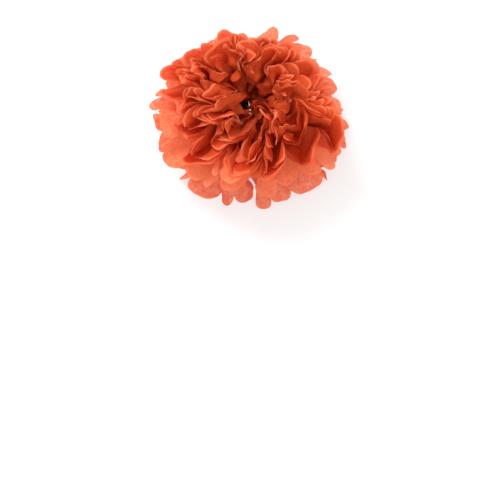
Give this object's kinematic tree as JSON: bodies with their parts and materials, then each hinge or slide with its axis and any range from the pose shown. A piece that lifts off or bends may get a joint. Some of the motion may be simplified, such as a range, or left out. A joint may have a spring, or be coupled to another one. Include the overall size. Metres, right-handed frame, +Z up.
{
  "type": "tissue paper pom pom",
  "caption": "Round flower-like ball of pleated coral tissue paper sheets, pinched across the middle by a thin wire and fluffed out, resting on its lowest petals.",
  "frame": {"origin": "on the floor under the middle of the flower's box", "axes": "+Z up through the tie and the crumpled middle; +X and -X are the two sides the pleated fans open towards; the tie wire's loop lies across them, square to X"},
  "size_m": [0.2596, 0.2326, 0.1683],
  "materials": {
    "tissue_1": "matt, thin and slightly see-through coral tissue",
    "tissue_2": "matt, thin and slightly see-through coral tissue",
    "tissue_3": "matt, thin and slightly see-through coral tissue",
    "tissue_4": "matt, thin and slightly see-through coral tissue",
    "tissue_5": "matt, thin and slightly see-through coral tissue",
    "tissue_6": "matt, thin and slightly see-through coral tissue",
    "tissue_7": "matt, thin and slightly see-through coral tissue",
    "tissue_8": "matt, thin and slightly see-through coral tissue",
    "tissue_9": "matt, thin and slightly see-through coral tissue",
    "tie_wire": "plain drawn wire"
  },
  "bodies": {
    "root": {"tissue_sheet_1": "tissue_1", "tissue_sheet_2": "tissue_2", "tissue_sheet_3": "tissue_3", "tissue_sheet_4": "tissue_4", "tissue_sheet_5": "tissue_5", "tissue_sheet_6": "tissue_6", "tissue_sheet_7": "tissue_7", "tissue_sheet_8": "tissue_8", "tissue_sheet_9": "tissue_9", "tie_wire": "tie_wire"}
  },
  "joints": []
}
